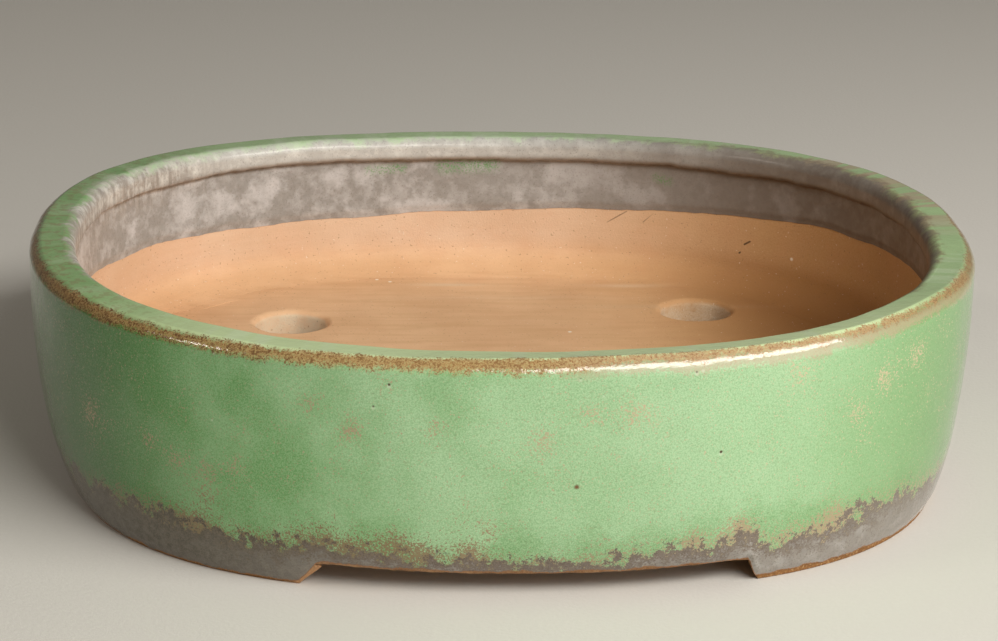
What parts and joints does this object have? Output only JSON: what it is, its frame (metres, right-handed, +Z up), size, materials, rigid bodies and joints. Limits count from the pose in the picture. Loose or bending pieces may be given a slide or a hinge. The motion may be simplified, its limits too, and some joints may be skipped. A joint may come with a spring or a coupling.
{
  "type": "oval bonsai pot",
  "caption": "Low oval bonsai pot in stoneware with a rolled inner lip, green glazed outside, bare clay inside, drain holes and cut-out end feet.",
  "frame": {"origin": "centre of the base, on the plane that the feet stand on", "axes": "+Z up, X along the long way of the oval, front towards -Y"},
  "size_m": [0.3, 0.25, 0.0769],
  "materials": {
    "bare_clay": "unglazed fired stoneware, matt tan",
    "foot_clay": "unglazed stoneware, matt brown",
    "green_glaze": "glossy apple green glaze with fine speckle, brown where thin",
    "grey_glaze": "satin grey glaze with pale streaks"
  },
  "bodies": {
    "root": {"body_wall": "bare_clay", "floor_slab": "bare_clay", "seam_coil": "bare_clay", "rim_lip": "bare_clay", "foot_left": "foot_clay", "foot_right": "foot_clay", "outer_glaze": "green_glaze", "inner_glaze": "grey_glaze"}
  },
  "joints": []
}
